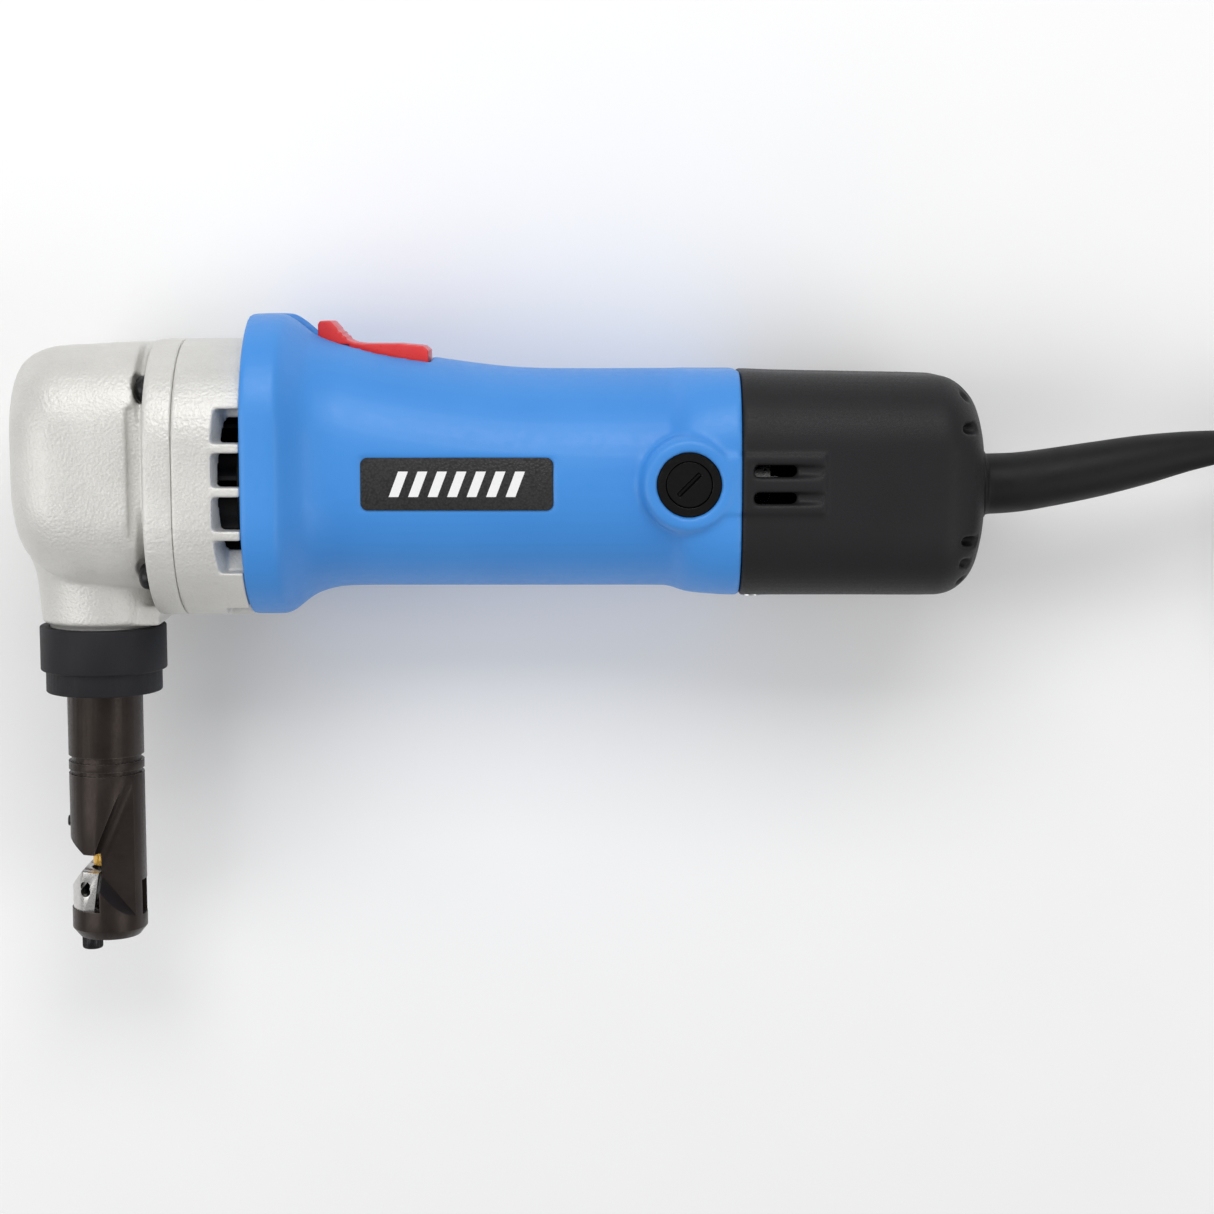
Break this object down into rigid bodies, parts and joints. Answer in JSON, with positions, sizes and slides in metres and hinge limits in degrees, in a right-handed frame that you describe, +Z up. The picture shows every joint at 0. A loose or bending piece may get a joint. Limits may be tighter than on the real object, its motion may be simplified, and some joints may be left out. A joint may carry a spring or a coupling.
{
  "type": "sheet metal nibbler",
  "caption": "Corded hand-held sheet metal nibbler with a punch and die in a turning nose, a slide switch and a cylindrical motor grip.",
  "frame": {"origin": "on the supporting surface, under the middle of the tool without its cord, the tool lying on its side", "axes": "+X along the motor axis from the gear head to the cord, +Y from the nose tip towards the switch side, +Z up off the surface"},
  "size_m": [0.4654, 0.1792, 0.079],
  "materials": {
    "cast_aluminium": "fine sand-cast texture, satin",
    "plate_aluminium": "machined",
    "blue_moulding": "moulded, fine spark texture",
    "black_moulding": "moulded, fine spark texture",
    "gloss_black": "polished",
    "red_moulding": "moulded, smooth",
    "label_film": "fine grained film",
    "cream_moulding": "moulded",
    "blackened_steel": "blackened and oiled",
    "phosphate_steel": "matte black phosphate",
    "bright_steel": "ground",
    "hardened_steel": "turned and ground",
    "black_screw": "black oxide",
    "zinc_screw": "zinc plated",
    "gold_coating": "gold coloured hard coating",
    "bronze": "sintered",
    "copper_wire": "enamelled copper",
    "lamination": "stacked sheet",
    "graphite": "pressed carbon",
    "spring_wire": "drawn wire",
    "cable_rubber": "matte",
    "plug_plating": "nickel plated"
  },
  "bodies": {
    "body": {"gear_housing": "cast_aluminium", "inner_plate": "plate_aluminium", "plate_screws": "zinc_screw", "crank_bearing": "bright_steel", "crank_bush": "bronze", "counter_bush": "bronze", "counter_bearing": "bright_steel", "ram_bush": "bronze", "motor_flange": "cast_aluminium", "housing_screws": "black_screw", "front_bearing": "bright_steel", "fan_baffle": "black_moulding", "field_core": "lamination", "field_coils": "copper_wire", "motor_housing": "blue_moulding", "label_plate": "label_film", "brush_holders": "black_moulding", "carbon_brushes": "graphite", "brush_springs": "spring_wire", "brush_caps": "gloss_black", "rear_bearing": "bright_steel", "switch_block": "cream_moulding", "rear_cover": "black_moulding", "cover_screws": "zinc_screw", "cord_clamp": "black_moulding", "clamp_screws": "zinc_screw", "inner_lead": "cable_rubber", "cord_sleeve": "cable_rubber", "cord_lead": "cable_rubber", "cord_coil": "cable_rubber", "cord_tail": "cable_rubber", "plug_body": "black_moulding", "plug_pins": "plug_plating"},
    "armature": {"armature_shaft": "hardened_steel", "armature_core": "lamination", "armature_windings": "copper_wire", "commutator": "copper_wire", "cooling_fan": "black_moulding"},
    "countershaft": {"countershaft": "hardened_steel"},
    "crank": {"crankshaft": "hardened_steel", "crank_roller": "bright_steel", "crank_gear": "hardened_steel"},
    "ram": {"ram": "hardened_steel", "punch": "gold_coating"},
    "lock_ring": {"lock_ring": "phosphate_steel"},
    "die_carrier": {"die_carrier": "blackened_steel", "die": "bright_steel", "die_screw": "black_screw", "carrier_set_screw": "black_screw"},
    "switch": {"switch_slider": "red_moulding", "switch_rod": "black_moulding"}
  },
  "joints": [
    {"name": "armature_spin", "type": "hinge", "parent": "body", "child": "armature", "pos_m": [-0.1117, 0.04455, 0.0395], "axis": [1, 0, 0], "continuous": true},
    {"name": "countershaft_spin", "type": "hinge", "parent": "body", "child": "countershaft", "pos_m": [-0.1117, 0.04455, 0.059], "axis": [1, 0, 0], "continuous": true},
    {"name": "crank_spin", "type": "hinge", "parent": "body", "child": "crank", "pos_m": [-0.1117, 0.04455, 0.0395], "axis": [1, 0, 0], "continuous": true},
    {"name": "ram_slide", "type": "slide", "parent": "body", "child": "ram", "axis": [0, 1, 0], "range_m": [-0.0015, 0.0045]},
    {"name": "lock_ring_turn", "type": "hinge", "parent": "body", "child": "lock_ring", "pos_m": [-0.1117, -0.00545, 0.0395], "axis": [0, -1, 0], "range_deg": [0, 120]},
    {"name": "nose_turn", "type": "hinge", "parent": "body", "child": "die_carrier", "pos_m": [-0.1117, -0.03545, 0.0395], "axis": [0, -1, 0], "range_deg": [-180, 180]},
    {"name": "switch_slide", "type": "slide", "parent": "body", "child": "switch", "axis": [-1, 0, 0], "range_m": [0, 0.0055]}
  ],
  "couplings": [
    {"joint": "countershaft_spin", "follows": "armature_spin", "ratio": -0.21875},
    {"joint": "crank_spin", "follows": "armature_spin", "ratio": 0.075431}
  ]
}
